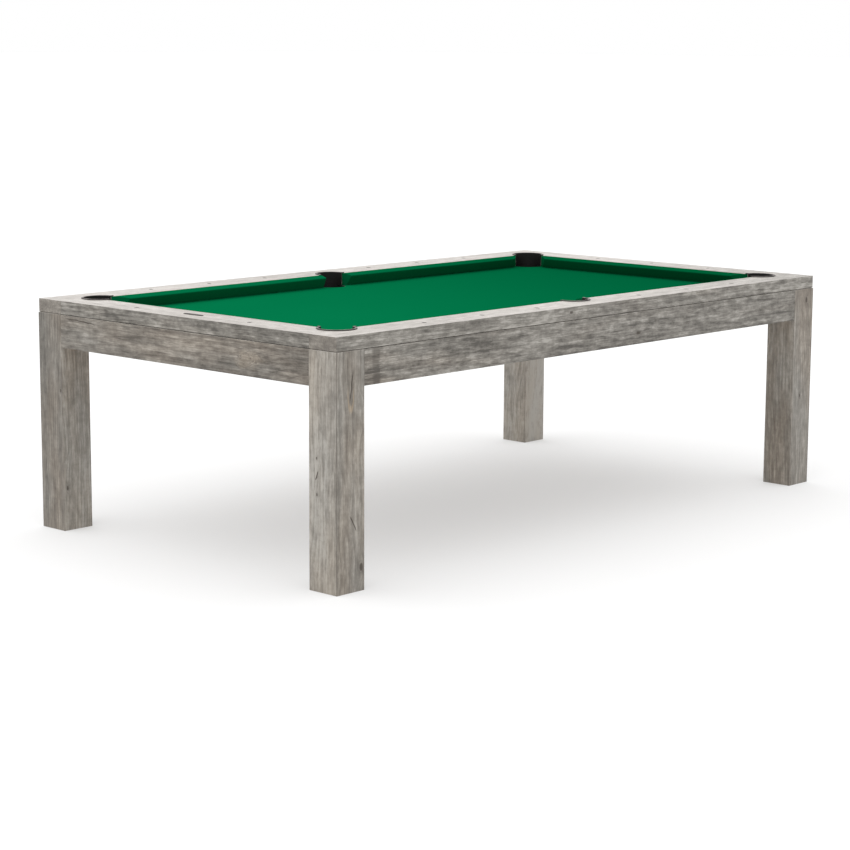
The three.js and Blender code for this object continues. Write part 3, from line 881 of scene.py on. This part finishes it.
def liner(node, centre, hole, turn, half_sweep, lean, material):
    """A ring through the slate, and a C-shaped wall whose rolled rim stands on the rails.

    The rim ends in two small ears, which lie along the edge of the wood. lean is the angle from
    the mouth to that edge.
    """
    low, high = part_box(node)
    wall = hole + LINER_WALL
    rim_bottom = rail_top + 0.3 * MM
    rim_top = high.z
    ring_top = slate_top - 1.0 * MM
    wall_bottom = ring_top + 0.15 * MM
    ring = spun([
        (hole, low.z), (wall, low.z), (wall, ring_top), (hole + 1 * MM, ring_top),
        (hole, ring_top - 1 * MM),
    ], 64)
    middle = (hole + wall + RIM_OVER) / 2
    half = (wall + RIM_OVER - hole) / 2
    crown = []
    for degrees in range(-10, 191, 20):
        angle = math.radians(degrees)
        crown.append((
            middle + half * math.cos(angle),
            rim_bottom + RIM_BAND + (rim_top - rim_bottom - RIM_BAND) * math.sin(angle),
        ))
    section = [
        (hole, wall_bottom), (wall, wall_bottom), (wall, rim_bottom),
        (wall + RIM_OVER - 1 * MM, rim_bottom),
    ]
    rim = spun(section + crown, 44, start=-math.pi / 2 - half_sweep, sweep=2 * half_sweep)
    round_edges(rim, RIM_EASE, chosen=lambda edge: any(is_cap(f) for f in edge.link_faces))
    ears = []
    for sign in (-1, 1):
        ear = round_block((*EAR_SIZE, rim_top - rim_bottom), RIM_EASE, 3)
        end = -math.pi / 2 + sign * half_sweep
        spot = Vector((math.cos(end), math.sin(end), 0)) * (wall + 1 * MM)
        spot += Vector((sign * math.cos(lean), math.sin(lean), 0)) * (EAR_SIZE[0] / 2)
        spot.z = (rim_bottom + rim_top) / 2
        ears.append(moved(ear, Matrix.Translation(spot) @ Matrix.Rotation(sign * lean, 4, "Z")))
    place = Matrix.Translation(centre) @ Matrix.Rotation(turn, 4, "Z")
    bm = moved(joined(ring, rim, *ears), place)
    name = node.replace("pocket_liner", "pocket_rim")
    lay(name, bm, material, stands_for=[node])


def bucket(node, hole, material, screw):
    """A moulded cup under the slate, with ribs down its side and screws through its flange."""
    low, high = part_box(node)
    centre = (low + high) / 2
    mouth, flange = hole + 3 * MM, (high.x - low.x) / 2
    taper = 7 * MM
    base = mouth - taper
    depth = high.z - low.z
    section = [
        (0, low.z), (base - 4 * MM, low.z), (base - 1.2 * MM, low.z + 1.2 * MM), (base, low.z + 4 * MM),
        (mouth - 0.3 * MM, high.z - 4 * MM), (mouth + 1 * MM, high.z - 3 * MM),
        (flange - 0.6 * MM, high.z - 3 * MM), (flange, high.z - 2.4 * MM), (flange, high.z),
        (hole, high.z), (hole - 1 * MM, high.z - 6 * MM),
        (base - 3 * MM, low.z + 6 * MM), (base - 6 * MM, low.z + 3 * MM), (0, low.z + 3 * MM),
    ]
    cup = spun(section, 48)
    ribs = []
    tilt = Matrix.Rotation(math.atan2(taper, depth), 4, "Y")
    spot = Matrix.Translation(((base + mouth) / 2 + 0.7 * MM, 0, centre.z - 4 * MM))
    for number in range(RIBS):
        rib = round_block((3 * MM, 2.4 * MM, depth * 0.7), 0.5 * MM, 2)
        ribs.append(moved(rib, Matrix.Rotation(number * 2 * math.pi / RIBS, 4, "Z") @ spot @ tilt))
    place = Matrix.Translation((centre.x, centre.y, 0))
    bm = moved(joined(cup, *ribs), place)
    lay(node.replace("bucket", "cup"), bm, material, stands_for=[node])

    heads = []
    reach = (flange + mouth) / 2
    for number in range(4):
        angle = math.radians(45 + 90 * number)
        spot = (reach * math.cos(angle), reach * math.sin(angle), high.z - 3 * MM)
        heads.append(moved(pan_head(3.4 * MM), Matrix.Translation(spot)))
    lay(node.replace("bucket", "screws"), moved(joined(*heads), place), screw)


WASHER_THICK = 1.6 * MM


def pan_head(radius):
    """A pan-headed screw seen from below: its head hangs down from height 0."""
    return spun([
        (0, 0), (radius, 0), (radius, -0.5 * radius), (0.8 * radius, -0.75 * radius),
        (0.35 * radius, -0.8 * radius), (0.3 * radius, -0.5 * radius), (0, -0.5 * radius),
    ], 16)


def hex_bolt(across, thick, washer):
    """A hexagon head on a washer, hanging down from height 0."""
    bore = across * 0.3
    plate = spun([(bore, 0), (washer, 0), (washer, -WASHER_THICK), (bore, -WASHER_THICK)], 24)
    head = hexagon(
        across / math.sqrt(3), thick, -thick / 2 - WASHER_THICK, 0.8 * MM,
        chosen=lambda one, two: one < 0 and two < 0,
    )
    return joined(plate, head)


def make_pockets():
    # The pocket rims carry a painted highlight along their crowns.
    rubber = moulded(
        "pocket_rubber", (9, 7, 6), (20, 16, 14), 0.50, gloss=0.3, crown=rail_top + 2.7 * MM,
    )
    plastic = moulded("pocket_plastic", (22, 22, 22), (38, 38, 37), 0.50)
    screw = plated("zinc_screw", (168, 170, 172), (196, 198, 200), 0.30)
    wood_line = side_box("cushion_front_left", "front")[0].y
    for corner, (_, _, degrees) in CORNERS.items():
        low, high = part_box(f"pocket_bucket_{corner}")
        centre = Vector(((low.x + high.x) / 2, (low.y + high.y) / 2, 0))
        set_in = half_length - abs(centre.x)
        reach = math.asin((set_in - wood_line) / (CORNER_HOLE + LINER_WALL))
        half_sweep = math.radians(135) - reach
        turn = math.radians(degrees - 45)
        liner(f"pocket_liner_{corner}", centre, CORNER_HOLE, turn, half_sweep, math.pi / 4, rubber)
        bucket(f"pocket_bucket_{corner}", CORNER_HOLE, plastic, screw)
    for side, turn in (("front", 0.0), ("back", math.pi)):
        low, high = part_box(f"pocket_bucket_{side}_side")
        centre = Vector((0, (low.y + high.y) / 2, 0))
        set_in = half_width - abs(centre.y)
        half_sweep = math.pi / 2 + math.asin((wood_line - set_in) / (SIDE_HOLE + LINER_WALL))
        liner(f"pocket_liner_{side}_side", centre, SIDE_HOLE, turn, half_sweep, 0.0, rubber)
        bucket(f"pocket_bucket_{side}_side", SIDE_HOLE, plastic, screw)


# ------------------------------------------------------------ sights and plate

SIGHT_PITCH = 279.4 * MM
SIGHT_IN = 62 * MM          # outer face to the middle of a sight
SIGHT_LONG, SIGHT_WIDE = 24 * MM, 12 * MM
SIGHT_PROUD = 0.4 * MM
LONG_SIGHTS = (-3, -2, -1, 1, 2, 3)


def make_sights():
    pearl = moulded(
        "sight_inlay", (38, 36, 34), (66, 63, 60), 0.60, grain=220.0, bump=0.0001, gloss=0.15,
    )
    rows = {"front": LONG_SIGHTS, "back": LONG_SIGHTS, "left": (-1, 1), "right": (-1, 0, 1)}
    for side, places in rows.items():
        for number, place in enumerate(places, 1):
            bm = bmesh.new()
            bmesh.ops.create_circle(bm, cap_ends=True, segments=4, radius=1)
            bmesh.ops.scale(bm, verts=bm.verts, vec=(SIGHT_WIDE / 2, SIGHT_LONG / 2, 1))
            draw_out(bm, bm.faces[:], (0, 0, SIGHT_PROUD))
            round_edges(bm, 0.15 * MM, segments=1)
            spot = Matrix.Translation((place * SIGHT_PITCH, SIGHT_IN, rail_top + 0.02 * MM))
            lay(f"sight_{side}_{number}", moved(bm, SIDES[side] @ spot), pearl)


def make_plate():
    low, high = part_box("name_plate")
    metal = plated("plate_metal", (44, 39, 35), (72, 66, 60), 0.42, brush=(700, 20, 20))
    length, width = high.y - low.y, high.x - low.x
    bm = bmesh.new()
    bmesh.ops.create_circle(bm, cap_ends=True, segments=48, radius=width / 2)
    straight = (length - width) / 2
    for sign in (-1, 1):
        half = [v for v in bm.verts if sign * v.co.y > 1e-6]
        bmesh.ops.translate(bm, verts=half, vec=(0, sign * straight, 0))
    draw_out(bm, bm.faces[:], (0, 0, high.z - low.z))
    crown = [face for face in bm.faces if face.normal.z > 0.9]
    bmesh.ops.inset_region(bm, faces=crown, thickness=1.4 * MM, depth=-0.35 * MM)
    bmesh.ops.translate(bm, verts=bm.verts, vec=((low.x + high.x) / 2, 0, low.z))
    lay("name_plate_blank", bm, metal, stands_for=["name_plate"])


# ------------------------------------------------------------ levellers, brackets, fasteners

THREAD_PITCH = 1.5 * MM
THREAD_DEPTH = 0.75 * MM
THREAD_STEPS = 16           # facets in one turn
STUD_RADIUS = 5 * MM
SPANNER_RADIUS = 8 * MM
SPANNER_THICK = 5 * MM


def threaded_stud(bottom, top, hex_bottom):
    """A rod with a rolled thread, a spanner hexagon and chamfered ends."""
    hex_top = hex_bottom + SPANNER_THICK
    core = STUD_RADIUS - THREAD_DEPTH
    rod = spun([(0, bottom), (core - 0.6 * MM, bottom), (core, bottom + 0.6 * MM),
                (core, top - 0.6 * MM), (core - 0.6 * MM, top), (0, top)], 24)
    thread = bmesh.new()
    start = hex_top + THREAD_PITCH
    face = face_of(thread, [
        (core - 0.3 * MM, 0, start - 0.62 * MM), (STUD_RADIUS, 0, start - 0.1 * MM),
        (STUD_RADIUS, 0, start + 0.1 * MM), (core - 0.3 * MM, 0, start + 0.62 * MM),
    ])
    turns = int((top - 1.5 * MM - start) / THREAD_PITCH)
    bmesh.ops.spin(
        thread, geom=[face, *face.edges, *face.verts], cent=(0, 0, 0), axis=(0, 0, 1),
        dvec=(0, 0, THREAD_PITCH / THREAD_STEPS), angle=turns * 2 * math.pi,
        steps=turns * THREAD_STEPS,
        use_merge=False, use_duplicate=False,
    )
    bmesh.ops.recalc_face_normals(thread, faces=thread.faces)
    nut = hexagon(
        SPANNER_RADIUS, hex_top - hex_bottom, (hex_bottom + hex_top) / 2, 0.7 * MM,
        chosen=lambda one, two: abs(one - two) < 1e-6,
    )
    return joined(rod, thread, nut)


def make_levellers():
    zinc = plated("zinc_plate", (150, 152, 155), (188, 190, 192), 0.28)
    nylon = moulded("pad_nylon", (26, 26, 26), (46, 46, 45), 0.55)
    for corner in CORNERS:
        pad_low, pad_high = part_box(f"leveller_pad_{corner}")
        stud_low, stud_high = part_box(f"leveller_stud_{corner}")
        nut_low, nut_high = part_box(f"leveller_insert_{corner}")
        centre = (pad_low + pad_high) / 2
        place = Matrix.Translation((centre.x, centre.y, 0))
        pad_radius = (pad_high.x - pad_low.x) / 2
        boss, socket = 9.3 * MM, 5.4 * MM
        shelf = pad_low.z + 6 * MM
        pad = spun([
            (0, pad_low.z + 0.8 * MM), (pad_radius - 6 * MM, pad_low.z + 0.8 * MM),
            (pad_radius - 5 * MM, pad_low.z), (pad_radius - 1.5 * MM, pad_low.z),
            (pad_radius, pad_low.z + 1.5 * MM), (pad_radius, shelf - 2 * MM),
            (pad_radius - 2 * MM, shelf - 0.4 * MM), (boss + 2 * MM, shelf),
            (boss, shelf + 1.6 * MM), (boss, pad_high.z - 0.8 * MM), (boss - 0.8 * MM, pad_high.z),
            (socket + 0.3 * MM, pad_high.z), (socket, pad_high.z - 0.3 * MM), (socket, shelf), (0, shelf),
        ], 40)
        lay(f"leveller_foot_{corner}", moved(pad, place), nylon,
            body=f"pad_{corner}", stands_for=[f"leveller_pad_{corner}"])

        stud = threaded_stud(stud_low.z, stud_high.z, pad_high.z + 0.3 * MM)
        lay(f"leveller_screw_{corner}", moved(stud, place), zinc,
            body=f"stud_{corner}", stands_for=[f"leveller_stud_{corner}"])

        bore, sleeve, flange = 5.45 * MM, 8.3 * MM, 12.9 * MM
        shoulder = nut_low.z + 2 * MM
        nut = spun([
            (bore + 0.5 * MM, nut_low.z), (flange - 0.4 * MM, nut_low.z), (flange, nut_low.z + 0.4 * MM),
            (flange, shoulder), (sleeve, shoulder), (sleeve, nut_high.z), (bore, nut_high.z),
            (bore, nut_low.z + 0.5 * MM),
        ], 32)
        lay(f"leveller_nut_{corner}", moved(nut, place), zinc,
            stands_for=[f"leveller_insert_{corner}"])


BRACKET_THICK = 3 * MM
BRACKET_BOLT = (10 * MM, 5 * MM, 9 * MM)    # across flats, thickness, washer radius
RAIL_BOLT = (14 * MM, 7 * MM, 15 * MM)
HEAD_UP = Matrix.Rotation(math.pi, 4, "X")
HEAD_OUT = Matrix.Rotation(math.pi / 2, 4, "X")
OTHER_WING = Matrix(((0, 1, 0, 0), (1, 0, 0, 0), (0, 0, 1, 0), (0, 0, 0, 1)))   # X and Y change places


def make_brackets():
    coat = plated("black_coat", (26, 27, 29), (40, 41, 43), 0.42, metallic=0.0, brush=(500, 500, 500))
    zinc = plated("zinc_bolt", (160, 162, 165), (190, 192, 194), 0.30)
    for corner, (sx, sy, degrees) in CORNERS.items():
        bm = cad_copy(f"leg_bracket_{corner}")
        round_edges(bm, 0.5 * MM, segments=2, longer_than=0.02)
        lay(f"bracket_{corner}", bm, coat,
            stands_for=[f"leg_bracket_{corner}"], smooth=False)
        low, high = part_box(f"leg_bracket_{corner}")
        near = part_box("ring_beam_front")[1].y + half_width + 0.3 * MM + BRACKET_THICK
        tip = max(high.x - low.x, high.y - low.y) + near - BRACKET_THICK
        bolt_in = tip - 46 * MM
        level = (low.z + high.z) / 2
        seat = (near - BRACKET_THICK + leg_size) / 2
        spot = Matrix.Translation((seat, seat, low.z + BRACKET_THICK)) @ HEAD_UP
        bolts = [moved(hex_bolt(*BRACKET_BOLT), spot)]
        for wing in (Matrix.Identity(4), OTHER_WING):
            spot = Matrix.Translation((bolt_in, near, level)) @ HEAD_OUT
            bolt = moved(hex_bolt(*BRACKET_BOLT), wing @ spot)
            bmesh.ops.recalc_face_normals(bolt, faces=bolt.faces)
            bolts.append(bolt)
        turn = Matrix.Rotation(math.radians(degrees), 4, "Z")
        place = Matrix.Translation((sx * half_length, sy * half_width, 0)) @ turn
        lay(f"bracket_bolts_{corner}", moved(joined(*bolts), place), zinc)


# Millimetres along a side from its middle, for the long sides and the ends.
RAIL_BOLTS = {"x": (-900, -560, -210, 210, 560, 900), "y": (-400, -150, 150, 400)}
APRON_SCREWS = {"x": (-1050, -750, -300, 300, 750, 1050), "y": (-480, -240, 240, 480)}
RAIL_BOLT_IN = 100 * MM
SCREW_LEVELS = (0.25, 0.62)             # shares of the beam's height


def make_fasteners():
    zinc = plated("rail_bolt_zinc", (158, 160, 162), (192, 194, 196), 0.30)
    brass = plated("yellow_zinc", (176, 150, 92), (202, 178, 120), 0.32)
    for side in SIDES:
        bolts = []
        for x in RAIL_BOLTS[GRAIN[side]]:
            spot = Matrix.Translation((x * MM, RAIL_BOLT_IN, slate_bottom))
            bolts.append(moved(hex_bolt(*RAIL_BOLT), spot))
        lay(f"rail_bolts_{side}", moved(joined(*bolts), SIDES[side]), zinc)
        low, high = side_box(f"ring_beam_{side}", side)
        screws = []
        for x in APRON_SCREWS[GRAIN[side]]:
            for share in SCREW_LEVELS:
                level = low.z + share * (high.z - low.z)
                spot = Matrix.Translation((x * MM, high.y, level)) @ HEAD_OUT
                screws.append(moved(pan_head(4.5 * MM), spot))
        lay(f"apron_screws_{side}", moved(joined(*screws), SIDES[side]), brass)


# ------------------------------------------------------------ floor


def add_floor():
    finish = Finish("studio_floor")
    x, y, z = finish.place()
    cloud = finish.noise(finish.vector(x * 0.6, y * 0.6, z), detail=3.0)
    finish.wear({
        "Base Color": finish.mix(cloud, (0.44, 0.44, 0.44), (0.46, 0.46, 0.46)),
        "Roughness": 0.9,
        "Emission Color": (1.0, 1.0, 1.0),
        "Emission Strength": 0.40,
    })
    bm = bmesh.new()
    bmesh.ops.create_grid(bm, x_segments=2, y_segments=2, size=150)
    bmesh.ops.translate(bm, verts=bm.verts, vec=(0, 0, -0.3 * MM))
    mesh = bpy.data.meshes.new("floor")
    bm.to_mesh(mesh)
    bm.free()
    mesh.materials.append(finish.material)
    floor = bpy.data.objects.new("floor", mesh)
    bpy.context.scene.collection.objects.link(floor)


make_case()
make_frame()
make_bed()
make_cushions()
make_pockets()
make_sights()
make_plate()
make_levellers()
make_brackets()
make_fasteners()
add_floor()
